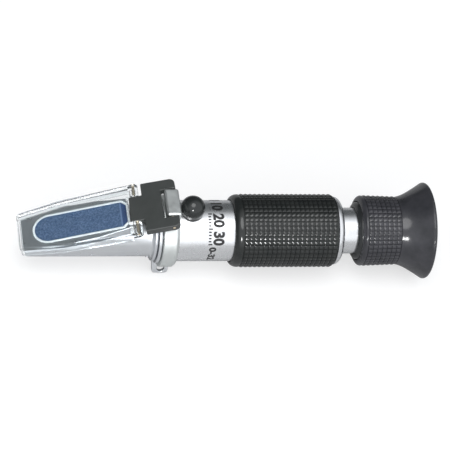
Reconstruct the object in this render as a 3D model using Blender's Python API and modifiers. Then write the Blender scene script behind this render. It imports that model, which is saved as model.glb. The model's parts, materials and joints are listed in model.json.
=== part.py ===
"""Hand-held refractometer with a hinged daylight plate, a rubber grip and a turning eyepiece.

World frame: +X runs along the optical axis from the prism to the eyepiece, +Z is the side of the sample
face, and the origin lies below the middle of the instrument, at the level of its lowest point. Lengths in
this file are in millimetres on the optical axis (x along it, y to the left, z up from it), and MM turns
them into metres.
"""

import math

import bmesh
import bpy
from mathutils import Matrix, Vector

MM = 0.001
COLLECTION_NAME = "refractometer"
MERGE_DISTANCE = 0.00001      # metres, for welds and turned profiles
SMOOTH_ANGLE = math.radians(32)
OUTER_STEPS = 40              # sides of the pieces that show
INNER_STEPS = 28              # sides of the optics and the pieces that hold them

# ---- driving dimensions, millimetres -------------------------------------------------------------------
HALF_LENGTH = 85.3            # plate front edge to the middle, and the middle to the eyecup rim
EYECUP_RADIUS = 20.0          # widest part of the instrument: the axis is this high above the ground
GAP = 0.3                     # between neighbouring pieces
FINE_GAP = 0.2                # between the prism, its frame and their groove

TUBE_RADIUS = 12.5            # outside of the barrel
TUBE_BORE = 10.8
HEAD_RADIUS = 10.45           # outside of the prism housing
SPIGOT_RADIUS = TUBE_BORE - GAP
LIGHT_BORE = 7.0

FACE_SLOPE = math.radians(18.36)      # the sample face rises towards the eyepiece
FACE_ORIGIN = Vector((-60.8, 0.0, 4.5))
FACE_FRONT = -23.6            # front end of the metal face, along the slope
FACE_REAR = 21.0              # rear end of the raised seat behind the prism

PRISM_FRONT = -18.1           # along the slope
PRISM_REAR = 19.8
PRISM_HALF_WIDTH = 6.1
PRISM_FLOOR = -5.0            # level of the underside, on the optical axis
BEZEL_WIDTH = 1.0
BEZEL_DEPTH = 0.8

ARM_PIVOT = Vector((-24.8, 0.0, 17.1))
PLATE_PIVOT = Vector((-38.7, 0.0, 13.1))
ARM_SLOPE = math.atan2(ARM_PIVOT.z - PLATE_PIVOT.z, ARM_PIVOT.x - PLATE_PIVOT.x)
PIVOT_PIN_RADIUS = 0.6
PIVOT_HOLE_RADIUS = PIVOT_PIN_RADIUS + GAP
ARM_THICKNESS = 3.0
ARM_HALF_WIDTH = 12.1

PLATE_FRONT = -24.86          # ends of the plate along the slope of the face
PLATE_REAR = 20.4             # between the ears
PLATE_UNDERSIDE = 0.4         # above the sample face
PLATE_TOP = 2.9
PLATE_HALF_WIDTH = 12.4       # at the ears
LIP_DEPTH = 2.3               # below the sample face
LIP_WIDTH = 0.9
EAR_INNER = 6.5
EAR_RADIUS = 1.9

COLLAR_FRONT = -27.7
COLLAR_REAR = -21.1
COLLAR_RADIUS = 14.8
KNUCKLE_HALF_WIDTH = 6.7
KNUCKLE_FRONT = -27.15
KNUCKLE_TOP = 19.2

RING_FRONT = -29.3            # strap ring, clamped between housing and barrel
RING_REAR = -28.0
RING_RADIUS = 13.3
LUG_ANGLE = math.radians(18)  # of the strap lug, from straight down towards -Y
LUG_RADIUS = 20.4
LUG_THICKNESS = 1.8
LUG_HOLE = (-25.0, 18.1)      # place along the axis, and distance out from it
LUG_HOLE_RADIUS = 1.6

LOCK_SCREW_X = -32.4
LOCK_SCREW_TURN = math.radians(128)   # from straight up towards -Y

CAP_X = -15.5                 # calibration screw and its rubber cap
CAP_RADIUS = 5.0
BUSHING_RADIUS = 2.6
SCREW_RADIUS = 1.4
LENS_RADIUS = 6.3

GRIP_FRONT = 1.9
GRIP_REAR = 45.1
GRIP_RADIUS = 15.0
TUBE_REAR = 44.8
END_RING_REAR = 48.3
GUIDE_RADIUS = 9.5            # outside of the tube that the eyepiece slides on
GUIDE_BORE = 8.3
GUIDE_REAR = 60.7

SHELL_FRONT = 54.1
SHELL_REAR = 72.0
SHELL_RADIUS = 11.8
SHELL_BORE = GUIDE_RADIUS + GAP
FLANGE_FRONT = 64.0           # the lens cell and its collar, which runs behind the guide tube
FLANGE_REAR = 65.6
FLANGE_RADIUS = 9.4
CELL_FRONT = 48.5
CELL_REAR = 71.0
CELL_RADIUS = GUIDE_BORE - GAP
CELL_BORE = 6.8
CELL_LENS_RADIUS = CELL_BORE - GAP
GUIDE_PIN_X = 57.5

# ---- empty the scene -----------------------------------------------------------------------------------
for old in list(bpy.data.objects):
    bpy.data.objects.remove(old, do_unlink=True)


def new_collection(name):
    collection = bpy.data.collections.new(name)
    bpy.context.scene.collection.children.link(collection)
    return collection


PARTS = new_collection(COLLECTION_NAME)
CUTTERS = new_collection("cutters")


# ---- materials -----------------------------------------------------------------------------------------
def material(name, colour, roughness, metallic=0.0, transmission=0.0):
    made = bpy.data.materials.new(name)
    made.use_nodes = True
    shader = made.node_tree.nodes["Principled BSDF"]
    shader.inputs["Base Color"].default_value = (*colour, 1.0)
    shader.inputs["Roughness"].default_value = roughness
    shader.inputs["Metallic"].default_value = metallic
    shader.inputs["Transmission Weight"].default_value = transmission
    return made


SILVER = material("satin_aluminium", (0.78, 0.80, 0.83), 0.35, 1.0)
CAST = material("painted_casting", (0.60, 0.63, 0.62), 0.55, 0.3)
BLACK_METAL = material("black_anodised", (0.03, 0.03, 0.03), 0.6, 0.5)
BRASS = material("brass", (0.72, 0.55, 0.30), 0.3, 1.0)
STEEL = material("steel", (0.62, 0.62, 0.62), 0.3, 1.0)
BLACK_PLASTIC = material("black_plastic", (0.045, 0.05, 0.05), 0.45)
BLACK_RUBBER = material("black_rubber", (0.035, 0.037, 0.04), 0.5)
CLEAR_PLASTIC = material("clear_acrylic", (0.93, 0.95, 0.97), 0.05, 0.0, 0.9)
GLASS = material("optical_glass", (0.95, 0.97, 1.0), 0.02, 0.0, 0.95)
BLUE_GLASS = material("prism_glass", (0.08, 0.16, 0.38), 0.25, 0.0, 0.1)
SEALANT = material("prism_frame", (0.82, 0.85, 0.86), 0.4)


# ---- frames --------------------------------------------------------------------------------------------
def empty(name, location=(0, 0, 0), parent=None, tilt=0.0):
    """An empty at a place on the optical axis, turned about Y by tilt."""
    made = bpy.data.objects.new(name, None)
    made.empty_display_size = 5 * MM
    made.location = Vector(location) * MM
    made.rotation_euler = (0, tilt, 0)
    made.parent = parent
    PARTS.objects.link(made)
    return made


AXIS = empty("optical_axis", (0, 0, EYECUP_RADIUS))
FACE = empty("prism_face", FACE_ORIGIN, AXIS, -FACE_SLOPE)
ARM_AXIS = empty("cover_hinge_axis", ARM_PIVOT, AXIS)
ARM_FRAME = empty("arm_plane", (0, 0, 0), ARM_AXIS, -ARM_SLOPE)
PLATE_AXIS = empty("plate_pivot_axis", PLATE_PIVOT - ARM_PIVOT, ARM_AXIS)
PLATE_FRAME = empty("plate_plane", FACE_ORIGIN - PLATE_PIVOT, PLATE_AXIS, -FACE_SLOPE)
CAP_AXIS = empty("cap_axis", (CAP_X, 0, 0), AXIS)
LENS_AXIS = empty("lens_slide_axis", (CAP_X, 0, 0), AXIS)
OCULAR_AXIS = empty("ocular_slide_axis", (0, 0, 0), AXIS)
FOCUS_AXIS = empty("focus_turn_axis", (0, 0, 0), OCULAR_AXIS)


# ---- modelling helpers ---------------------------------------------------------------------------------
def link(obj, mat, parent, location=(0, 0, 0), rotation=(0, 0, 0)):
    obj.parent = parent
    obj.location = Vector(location) * MM
    obj.rotation_euler = rotation
    if mat is None:
        obj.hide_render = True
        obj.display_type = "WIRE"
        CUTTERS.objects.link(obj)
    else:
        obj.data.materials.append(mat)
        PARTS.objects.link(obj)
    return obj


def arc(cx, cr, radius, start, end, count):
    """Points on an arc, angles in degrees, both ends included."""
    angles = [math.radians(start + (end - start) * i / count) for i in range(count + 1)]
    return [(cx + radius * math.cos(a), cr + radius * math.sin(a)) for a in angles]


def area(points):
    following = points[1:] + points[:1]
    return sum(a[0] * b[1] - b[0] * a[1] for a, b in zip(points, following)) / 2


def turned(name, profile, mat, parent=AXIS, origin=(0, 0, 0), steps=OUTER_STEPS, upright=False, closed=True):
    """A body turned about X, or about Z when upright, from (position along the axis, radius) points."""
    points = [(r, t) for t, r in profile]
    if area(points) > 0:
        points.reverse()
    mesh = bpy.data.meshes.new(name)
    edges = [(i, i + 1) for i in range(len(points) - 1)]
    if closed:
        edges.append((len(points) - 1, 0))
    mesh.from_pydata([(r * MM, 0, t * MM) for r, t in points], edges, [])
    obj = bpy.data.objects.new(name, mesh)
    link(obj, mat, parent, origin, (0, 0 if upright else math.pi / 2, 0))
    screw = obj.modifiers.new("turn", "SCREW")
    screw.axis = "Z"
    screw.steps = screw.render_steps = steps
    screw.use_merge_vertices = True
    screw.merge_threshold = MERGE_DISTANCE
    screw.use_smooth_shade = True
    return obj


def tube(name, x0, x1, inner, outer, mat, **options):
    return turned(name, [(x0, inner), (x0, outer), (x1, outer), (x1, inner)], mat, **options)


def rod(name, x0, x1, radius, mat, **options):
    return turned(name, [(x0, 0), (x0, radius), (x1, radius), (x1, 0)], mat, closed=False, **options)


def cross_rod(name, radius, half_length, mat, parent, origin=(0, 0, 0), steps=20):
    """A round bar along Y, centred on its origin."""
    obj = rod(name, -half_length, half_length, radius, mat, parent=parent, origin=origin, steps=steps,
              upright=True)
    obj.rotation_euler = (math.pi / 2, 0, 0)
    return obj


def block(name, low, high, mat, parent=AXIS, bevel=0.0):
    """A box between two corners, with optional rounded edges."""
    low, high = Vector(low), Vector(high)
    mesh = bpy.data.meshes.new(name)
    shape = bmesh.new()
    bmesh.ops.create_cube(shape, size=1.0, matrix=Matrix.Diagonal((*((high - low) * MM), 1.0)))
    shape.to_mesh(mesh)
    shape.free()
    obj = bpy.data.objects.new(name, mesh)
    link(obj, mat, parent, (low + high) / 2)
    if bevel:
        add_bevel(obj, bevel, 3)
    return obj


def add_bevel(obj, width, segments, angle=50):
    bevel = obj.modifiers.new("round", "BEVEL")
    bevel.width = width * MM
    bevel.segments = segments
    bevel.limit_method = "ANGLE"
    bevel.angle_limit = math.radians(angle)
    return bevel


def rounded(corners, count=5):
    """An outline from (x, y, corner radius) points, with arcs at the corners that have a radius."""
    outline = []
    for i, (x, y, radius) in enumerate(corners):
        corner = Vector((x, y))
        before = (Vector(corners[i - 1][:2]) - corner).normalized()
        after = (Vector(corners[(i + 1) % len(corners)][:2]) - corner).normalized()
        if not radius:
            outline.append((x, y))
            continue
        half = before.angle(after) / 2
        centre = corner + (before + after).normalized() * radius / math.sin(half)
        start = corner + before * radius / math.tan(half) - centre
        turn = start.angle_signed(corner + after * radius / math.tan(half) - centre)
        for step in range(count + 1):
            point = centre + Matrix.Rotation(-turn * step / count, 2) @ start
            outline.append((point.x, point.y))
    return outline


def mirrored(half):
    """A closed outline from the corners of its +Y half, listed from one end of the axis to the other."""
    return half + [(x, -y, r) for x, y, r in reversed(half) if y > 0]


def slab(name, outline, low, high, mat, parent=AXIS, origin=(0, 0, 0), rotation=(0, 0, 0)):
    """A flat outline drawn in XY, filled and extruded from low to high along Z, as a mesh."""
    curve = bpy.data.curves.new(name + "_outline", "CURVE")
    curve.dimensions = "2D"
    curve.fill_mode = "BOTH"
    curve.extrude = (high - low) / 2 * MM
    spline = curve.splines.new("POLY")
    spline.points.add(len(outline) - 1)
    for point, (x, y) in zip(spline.points, outline):
        point.co = (x * MM, y * MM, 0, 1)
    spline.use_cyclic_u = True
    sketch = bpy.data.objects.new(name + "_sketch", curve)
    PARTS.objects.link(sketch)
    graph = bpy.context.evaluated_depsgraph_get()
    mesh = bpy.data.meshes.new_from_object(sketch.evaluated_get(graph))
    bpy.data.objects.remove(sketch, do_unlink=True)
    shape = bmesh.new()
    shape.from_mesh(mesh)
    bmesh.ops.remove_doubles(shape, verts=shape.verts, dist=MERGE_DISTANCE)
    bmesh.ops.translate(shape, verts=shape.verts, vec=(0, 0, (low + high) / 2 * MM))
    bmesh.ops.recalc_face_normals(shape, faces=shape.faces)
    shape.to_mesh(mesh)
    shape.free()
    mesh.name = name
    mesh.materials.clear()
    return link(bpy.data.objects.new(name, mesh), mat, parent, origin, rotation)


def combine(obj, tool, operation):
    boolean = obj.modifiers.new(tool.name, "BOOLEAN")
    boolean.operation = operation
    boolean.object = tool


def cut(obj, *tools):
    for tool in tools:
        combine(obj, tool, "DIFFERENCE")


def join(obj, *tools):
    for tool in tools:
        combine(obj, tool, "UNION")


# ---- prism housing, prism and its frame ----------------------------------------------------------------
def prism_outline(margin):
    """The window on the sample face: a round front end and two cut corners at the rear."""
    half = PRISM_HALF_WIDTH + margin
    corner = 2.0 + margin * (math.sqrt(2) - 1)
    front = arc(PRISM_FRONT + PRISM_HALF_WIDTH, 0, half, 270, 90, 20)
    rear = PRISM_REAR + margin
    front += [(rear - corner, half), (rear, half - corner), (rear, corner - half)]
    return front + [(rear - corner, -half)]


def prism_housing():
    flange_front, flange_rear, spigot_rear = -31.0, -29.6, -19.3
    flange_radius, fillet = 12.3, 1.5
    bore_front = -44.0
    profile = [(bore_front, 0), (bore_front, LIGHT_BORE), (spigot_rear, LIGHT_BORE)]
    profile += [(spigot_rear, SPIGOT_RADIUS), (flange_rear, SPIGOT_RADIUS), (flange_rear, flange_radius)]
    profile += [(flange_front, flange_radius)]
    profile += arc(flange_front - fillet, HEAD_RADIUS + fillet, fillet, 0, -90, 4)
    profile += [(-HALF_LENGTH, HEAD_RADIUS), (-HALF_LENGTH, 0)]
    housing = turned("prism_housing", profile, SILVER, closed=False)
    seat_rear = FACE_ORIGIN.x + FACE_REAR * math.cos(FACE_SLOPE)
    seat = mirrored([(-62, 9.6, 0), (-53, 9.3, 0), (-47, 8.4, 0), (seat_rear, 7.6, 0)])
    join(housing, slab("prism_seat", [(x, y) for x, y, _ in seat], 0, 14, None))
    taper = [(-86, 7.1, 0), (-83.5, 7.3, 0), (-62, 10.5, 0), (-62, 14, 0), (-18, 14, 0)]
    plan = [(x, y) for x, y, _ in mirrored(taper)]
    combine(housing, slab("housing_plan", plan, -15, 15, None), "INTERSECT")
    above_face = block("above_face", (-30, -15, 0), (FACE_REAR + 1.5, 15, 20), None, FACE)
    front_end = block("housing_front", (-34, -15, -30), (FACE_FRONT, 15, 12), None, FACE)
    pocket = prism_body("prism_pocket", FINE_GAP, 4.0, None)
    groove = bezel_shape("bezel_groove", BEZEL_WIDTH + 2 * FINE_GAP, FINE_GAP, 5, None)
    screw_hole = radial_screw("lock_screw_hole", 5.0, 14.0, 0.95, None)
    cut(housing, above_face, front_end, pocket, groove, screw_hole)


def prism_body(name, margin, top, mat):
    """The prism's shape: its window carried down to a level floor and an upright rear face."""
    body = slab(name, prism_outline(margin), -18, top, mat, FACE)
    rear = FACE_ORIGIN.x + (PRISM_REAR + margin) * math.cos(FACE_SLOPE)
    bounds = block(name + "_bounds", (-90, -12, PRISM_FLOOR - margin), (rear, 12, 20), None)
    combine(body, bounds, "INTERSECT")
    return body


def bezel_shape(name, margin, clearance, top, mat):
    """The outside of the prism's frame, cut off straight close behind the prism."""
    shape = slab(name, prism_outline(margin), -BEZEL_DEPTH - clearance, top, mat, FACE)
    rear = PRISM_REAR + 0.6 + clearance
    cut(shape, block(name + "_end", (rear, -12, -6), (rear + 6, 12, 8), None, FACE))
    return shape


def prism_bezel():
    frame = bezel_shape("prism_bezel", FINE_GAP + BEZEL_WIDTH, 0, 0.1, SEALANT)
    cut(frame, slab("bezel_window", prism_outline(FINE_GAP), -5, 5, None, FACE))


def radial_screw(name, inner, outer, radius, mat):
    """A round bar that points out from the optical axis where the set screw is."""
    bar = rod(name, inner, outer, radius, mat, origin=(LOCK_SCREW_X, 0, 0), steps=16, upright=True)
    bar.rotation_euler = (LOCK_SCREW_TURN, 0, 0)
    return bar


# ---- barrel, collar and strap ring ---------------------------------------------------------------------
def hinge_collar():
    chamfer = 1.2
    bore = TUBE_RADIUS + GAP
    profile = [(COLLAR_FRONT, bore), (COLLAR_FRONT, COLLAR_RADIUS - 0.3), (COLLAR_FRONT + 0.3, COLLAR_RADIUS)]
    profile += [(COLLAR_REAR - chamfer, COLLAR_RADIUS), (COLLAR_REAR, COLLAR_RADIUS - chamfer)]
    profile += [(COLLAR_REAR, bore)]
    collar = turned("hinge_collar", profile, CAST)
    low = (KNUCKLE_FRONT, -KNUCKLE_HALF_WIDTH, bore + GAP)
    high = (COLLAR_REAR - FINE_GAP, KNUCKLE_HALF_WIDTH, KNUCKLE_TOP)
    knuckle = block("hinge_knuckle", low, high, None, bevel=0.9)
    join(collar, knuckle)
    cut(collar, cross_rod("collar_pin_hole", PIVOT_HOLE_RADIUS, 15, None, AXIS, ARM_PIVOT))


def strap_ring():
    ring = tube("strap_ring", RING_FRONT, RING_REAR, SPIGOT_RADIUS + GAP, RING_RADIUS, SILVER)
    over_collar = COLLAR_RADIUS + GAP + 0.1
    lug_rear = -21.9
    outline = [(RING_FRONT, 12.0, 0), (RING_FRONT + 0.9, LUG_RADIUS, 1.2), (lug_rear, LUG_RADIUS, 1.4)]
    outline += [(lug_rear, over_collar, 0), (RING_REAR, over_collar, 0)]
    outline += [(RING_REAR, 12.0, 0)]
    turn = (-math.pi / 2 - LUG_ANGLE, 0, 0)
    half = LUG_THICKNESS / 2
    lug = slab("strap_lug", rounded(outline), -half, half, None, AXIS, (0, 0, 0), turn)
    circle = arc(*LUG_HOLE, LUG_HOLE_RADIUS, 0, 342, 19)
    hole = slab("strap_hole", circle, -3, 3, None, AXIS, (0, 0, 0), turn)
    join(ring, lug)
    cut(ring, hole)


def barrel_tube():
    barrel = tube("barrel_tube", COLLAR_FRONT, TUBE_REAR, TUBE_BORE, TUBE_RADIUS, SILVER)
    radius = BUSHING_RADIUS + GAP
    hole = rod("bushing_hole", 5, 20, radius, None, origin=(CAP_X, 0, 0), steps=24, upright=True)
    cut(barrel, hole)


def light_baffle():
    tube("light_baffle", 5.6, 6.4, 6.5, SPIGOT_RADIUS, BLACK_METAL, steps=INNER_STEPS)


def reticle_group():
    cell_front, cell_rear, shoulder = 22.5, 28.0, 23.7
    reticle_radius = 8.6
    profile = [(cell_front, 7.6), (cell_front, SPIGOT_RADIUS), (cell_rear, SPIGOT_RADIUS)]
    profile += [(cell_rear, reticle_radius + GAP), (shoulder, reticle_radius + GAP), (shoulder, 7.6)]
    turned("reticle_cell", profile, BLACK_METAL, steps=INNER_STEPS)
    rod("reticle", shoulder + GAP, shoulder + GAP + 1.5, reticle_radius, GLASS, steps=INNER_STEPS)
    tube("reticle_retainer", 25.8, 27.2, 7.6, reticle_radius, BLACK_METAL, steps=INNER_STEPS)


# ---- grip, end ring and guide tube ---------------------------------------------------------------------
def grip_sleeve():
    bore = TUBE_RADIUS + GAP
    lip = GRIP_RADIUS - bore
    profile = [(GRIP_FRONT, bore)]
    profile += [(GRIP_FRONT + 4.4 * (1 - math.cos(a)), bore + lip * math.sin(a))
                for a in (math.radians(18 * i) for i in range(1, 6))]
    profile += [(GRIP_REAR - 0.4, GRIP_RADIUS), (GRIP_REAR, GRIP_RADIUS - 0.4), (GRIP_REAR, bore)]
    turned("grip_sleeve", profile, BLACK_RUBBER)


def end_ring():
    face = GRIP_REAR + GAP
    spigot_front = 38.0
    bore = GUIDE_RADIUS + GAP
    depth = END_RING_REAR - face
    dome = [(face + depth * math.sin(a), 10.6 + 3.5 * math.cos(a))
            for a in (math.radians(22.5 * i) for i in range(5))]
    profile = [(spigot_front, bore), (spigot_front, SPIGOT_RADIUS), (face, SPIGOT_RADIUS), *dome]
    profile += [(END_RING_REAR, bore)]
    turned("end_ring", profile, SILVER)


def guide_tube():
    guide = tube("guide_tube", 36.0, GUIDE_REAR, GUIDE_BORE, GUIDE_RADIUS, SILVER)
    cut(guide, block("guide_slot", (SHELL_FRONT, -0.9, -12), (GUIDE_REAR + 2, 0.9, -6), None))


# ---- cover arm and daylight plate ----------------------------------------------------------------------
def arm_x(x):
    """Distance along the arm's slope from the hinge, for a place x on the optical axis."""
    return (x - ARM_PIVOT.x) / math.cos(ARM_SLOPE)


def cover_arm():
    tongue, notch = 6.2, KNUCKLE_HALF_WIDTH + 0.4
    front, step, rear, notch_front = arm_x(-40.9), arm_x(-35.7), arm_x(-22.3), arm_x(-28.2)
    half = [(front, tongue, 0.8), (step, tongue, 0.3), (step, ARM_HALF_WIDTH, 0.5)]
    half += [(rear, ARM_HALF_WIDTH, 2.2)]
    half += [(rear, notch, 0.4), (notch_front, notch, 0.4)]
    outline = rounded(mirrored(half), 4)
    arm = slab("cover_arm", outline, -ARM_THICKNESS / 2, ARM_THICKNESS / 2, BLACK_PLASTIC, ARM_FRAME)
    for name, pivot in (("arm_rear_hole", Vector((0, 0, 0))), ("arm_front_hole", PLATE_PIVOT - ARM_PIVOT)):
        cut(arm, cross_rod(name, PIVOT_HOLE_RADIUS, 20, None, ARM_AXIS, pivot))
    seat_clearance = (FACE_REAR + 2, 12, PLATE_UNDERSIDE)
    cut(arm, block("arm_seat_clearance", (10, -12, -8), seat_clearance, None, PLATE_FRAME))


def plate_outline(inset, front_inset, rear):
    """Plan of the daylight plate in the plane of the face; inset moves its sides in."""
    front = PLATE_FRONT + front_inset
    round_front = max(0.0, 1.6 - inset)
    half = [(front, 8.8 - inset, round_front), (-7.0, 11.4 - inset, 0), (rear, PLATE_HALF_WIDTH - inset, 0)]
    return rounded(mirrored(half), 4)


def daylight_plate():
    turn = Matrix.Rotation(FACE_SLOPE, 3, "Y")
    pivot = turn @ (PLATE_PIVOT - FACE_ORIGIN)
    outline = plate_outline(0, 0, pivot.x)
    plate = slab("daylight_plate", outline, -LIP_DEPTH, PLATE_TOP, CLEAR_PLASTIC, PLATE_FRAME)
    hollow = slab("plate_hollow", plate_outline(LIP_WIDTH, 0.9, 40), -6, PLATE_UNDERSIDE, None, PLATE_FRAME)
    rear_gap = block("plate_rear_gap", (PLATE_REAR, -EAR_INNER, -8), (40, EAR_INNER, 8), None, PLATE_FRAME)
    below_ear = pivot.z - EAR_RADIUS + 0.2
    lip_end = block("plate_lip_end", (PLATE_REAR + 1, -20, -8), (40, 20, below_ear), None, PLATE_FRAME)
    cut(plate, hollow, rear_gap, lip_end)
    for side in (-1, 1):
        middle = side * (EAR_INNER + PLATE_HALF_WIDTH) / 2
        boss = cross_rod(f"plate_boss_{'left' if side > 0 else 'right'}", EAR_RADIUS,
                         (PLATE_HALF_WIDTH - EAR_INNER) / 2, None, PLATE_AXIS, (0, middle, 0), 28)
        join(plate, boss)
    cut(plate, cross_rod("plate_pin_hole", PIVOT_HOLE_RADIUS, 20, None, PLATE_AXIS))


# ---- calibration group ---------------------------------------------------------------------------------
def adjuster_bushing():
    bore = SCREW_RADIUS + GAP
    seat = TUBE_RADIUS + GAP
    profile = [(10.0, bore), (10.0, BUSHING_RADIUS), (seat, BUSHING_RADIUS), (seat, 3.4), (seat + 0.7, 3.4)]
    profile += [(seat + 0.7, BUSHING_RADIUS), (14.4, BUSHING_RADIUS), (14.4, bore)]
    turned("adjuster_bushing", profile, BRASS, origin=(CAP_X, 0, 0), steps=32, upright=True)


def calibration_cap():
    """A rubber ball with a neck, hollow below to clear the screw and its bushing."""
    ball_height = EYECUP_RADIUS - CAP_RADIUS
    base = 10.5
    profile = [(EYECUP_RADIUS, 0)]
    profile += [(ball_height + CAP_RADIUS * math.cos(a), CAP_RADIUS * math.sin(a))
                for a in (math.radians(12 * i) for i in range(1, 9))]
    profile += [(11.6, 4.7), (base, 4.5), (base, 3.8), (14.0, 3.8), (14.0, 3.0), (16.4, 3.0), (16.4, 0)]
    cap = turned("calibration_cap", profile, BLACK_RUBBER, CAP_AXIS, steps=32, upright=True, closed=False)
    saddle = rod("cap_saddle", -20, 20, TUBE_RADIUS + GAP, None, parent=CAP_AXIS)
    cut(cap, saddle)


def calibration_screw():
    screw = rod("calibration_screw", 9.3, 15.0, SCREW_RADIUS, BRASS, parent=CAP_AXIS, steps=24, upright=True)
    cut(screw, block("screw_slot", (-3, -0.3, 14.3), (3, 0.3, 17), None, CAP_AXIS))


def lens_group():
    """The objective and its carrier, given here from the middle of the carrier."""
    half, bore = 2.8, LENS_RADIUS + GAP
    profile = [(-half, 5.6), (-half, 8.4), (half, 8.4), (half, bore), (-half + 0.7, bore), (-half + 0.7, 5.6)]
    carrier = turned("lens_carriage", profile, BLACK_METAL, LENS_AXIS, steps=INNER_STEPS)
    join(carrier, rod("carriage_boss", 7.4, 8.75, 2.2, None, parent=LENS_AXIS, steps=24, upright=True))
    lens("objective_lens", -half + 0.7 + GAP, 1.0, LENS_RADIUS, 0.9, 0.9, LENS_AXIS)
    tube("objective_retainer", half - 1.2, half, 5.4, LENS_RADIUS, BLACK_METAL, parent=LENS_AXIS,
         steps=INNER_STEPS)


def lens(name, front_edge, edge, radius, front_bulge, rear_bulge, parent):
    """A turned lens: the thickness of its edge and how far each face bulges beyond it."""
    rear_edge = front_edge + edge
    rings = [i / 3 for i in range(4)]
    front = [(front_edge - front_bulge * (1 - s * s), radius * s) for s in rings]
    rear = [(rear_edge + rear_bulge * (1 - s * s), radius * s) for s in reversed(rings)]
    turned(name, front + rear, GLASS, parent, steps=INNER_STEPS, closed=False)


def preload_spring():
    """A leaf spring under the lens carrier, bowed up from the floor of the barrel."""
    crown, bow, thickness, half_angle = -9.05, 25.5, 0.25, 10
    centre = crown - bow
    top = arc(0, centre, bow, 90 - half_angle, 90 + half_angle, 10)
    bottom = arc(0, centre, bow - thickness, 90 + half_angle, 90 - half_angle, 10)
    slab("preload_spring", top + bottom, -1.2, 1.2, STEEL, AXIS, (CAP_X, 0, 0), (math.pi / 2, 0, math.pi / 2))


# ---- eyepiece ------------------------------------------------------------------------------------------
def ocular_group():
    """The cell that carries the eyepiece lenses, which slides along the guide tube."""
    seat = 5.6
    profile = [(CELL_FRONT, seat), (CELL_FRONT, CELL_RADIUS), (FLANGE_FRONT, CELL_RADIUS)]
    profile += [(FLANGE_FRONT, FLANGE_RADIUS), (FLANGE_REAR, FLANGE_RADIUS), (FLANGE_REAR, CELL_RADIUS)]
    profile += [(CELL_REAR, CELL_RADIUS), (CELL_REAR, CELL_BORE), (CELL_FRONT + 0.8, CELL_BORE)]
    profile += [(CELL_FRONT + 0.8, seat)]
    cell = turned("ocular_cell", profile, BLACK_METAL, OCULAR_AXIS, steps=INNER_STEPS)
    pin_place = {"parent": OCULAR_AXIS, "origin": (GUIDE_PIN_X, 0, 0), "steps": 16, "upright": True}
    cut(cell, rod("guide_pin_hole", -20, -4, 0.85, None, **pin_place))
    rod("guide_pin", -GUIDE_RADIUS + 0.2, -CELL_BORE - 0.2, 0.6, STEEL, **pin_place)
    lens("field_lens", CELL_FRONT + 2.0, 1.2, CELL_LENS_RADIUS, 0.8, 0.8, OCULAR_AXIS)
    lens("eye_lens", 66.5, 1.4, CELL_LENS_RADIUS, 0.8, 0.9, OCULAR_AXIS)
    for name, front, rear, bore in (("lens_spacer", 52.1, 65.2, 5.6), ("eye_lens_retainer", 69.2, 70.4, 5.4)):
        tube(name, front, rear, bore, CELL_LENS_RADIUS, BLACK_METAL, parent=OCULAR_AXIS, steps=INNER_STEPS)


def focus_shell():
    """The inner sleeve of the eyepiece, with its rounded front ring."""
    nose, ring_rear, ring_radius = 2.3, 56.5, 12.1
    front = [(SHELL_FRONT + nose * (1 - math.cos(a)), ring_radius - nose * (1 - math.sin(a)))
             for a in (math.radians(22.5 * i) for i in range(5))]
    profile = [(SHELL_FRONT, SHELL_BORE), *front, (ring_rear, ring_radius), (ring_rear, SHELL_RADIUS)]
    profile += [(SHELL_REAR, SHELL_RADIUS), (SHELL_REAR, SHELL_BORE)]
    turned("focus_shell", profile, BLACK_PLASTIC, FOCUS_AXIS)
    tube("cell_retainer", 65.9, 67.4, CELL_RADIUS + GAP, GUIDE_RADIUS, BLACK_METAL,
         parent=FOCUS_AXIS, steps=INNER_STEPS)


def eyecup():
    """The rubber sleeve and its flared eye guard, open to the rear."""
    sleeve_front, neck = 56.8, 72.3
    rim, bore = HALF_LENGTH, SHELL_RADIUS + GAP
    sleeve_radius, neck_radius, rim_round = 14.6, 14.1, 1.0
    rim_x = rim - rim_round
    rim_radius = EYECUP_RADIUS - rim_round
    outside = [(sleeve_front, bore), (sleeve_front, 14.0), (sleeve_front + 0.8, sleeve_radius)]
    outside += [(neck, neck_radius), (neck + 2.2, neck_radius + 0.5), (neck + 4.5, neck_radius + 1.5)]
    outside += [(neck + 8.0, neck_radius + 3.5)]
    edge = arc(rim_x, rim_radius, rim_round, 110, -60, 8)
    seat = SHELL_REAR + GAP
    inside = [(rim - 3.0, 16.9), (neck + 6.0, 14.6), (neck + 3.4, 12.0), (seat + 1.6, 9.0), (seat, 8.6)]
    inside += [(seat, bore)]
    turned("eyecup", outside + edge + inside, BLACK_RUBBER, FOCUS_AXIS)


# ---- assembly ------------------------------------------------------------------------------------------
prism_housing()
prism_body("prism", 0.0, 0.1, BLUE_GLASS)
prism_bezel()
radial_screw("lock_screw", 8.0, HEAD_RADIUS + 0.6, 0.7, STEEL)
hinge_collar()
strap_ring()
barrel_tube()
light_baffle()
reticle_group()
grip_sleeve()
end_ring()
guide_tube()
adjuster_bushing()
preload_spring()

cover_arm()
cross_rod("arm_pivot_pin", PIVOT_PIN_RADIUS, ARM_HALF_WIDTH - 0.1, BRASS, AXIS, ARM_PIVOT)
daylight_plate()
cross_rod("plate_pivot_pin", PIVOT_PIN_RADIUS, PLATE_HALF_WIDTH - 0.1, BRASS, ARM_AXIS,
          PLATE_PIVOT - ARM_PIVOT)

calibration_cap()
calibration_screw()
lens_group()

ocular_group()
focus_shell()
eyecup()

bpy.context.view_layer.update()
for piece in PARTS.objects:
    if piece.type == "MESH":
        piece.data.shade_smooth()
        piece.data.set_sharp_from_angle(angle=SMOOTH_ANGLE)
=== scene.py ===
"""Looks of a hand-held refractometer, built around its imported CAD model.

Shapes are drawn in millimetres on the optical axis (x along it towards the eye, z up from it), and
TO_WORLD puts them in the frame, in metres.
"""
import json
import math

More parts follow.
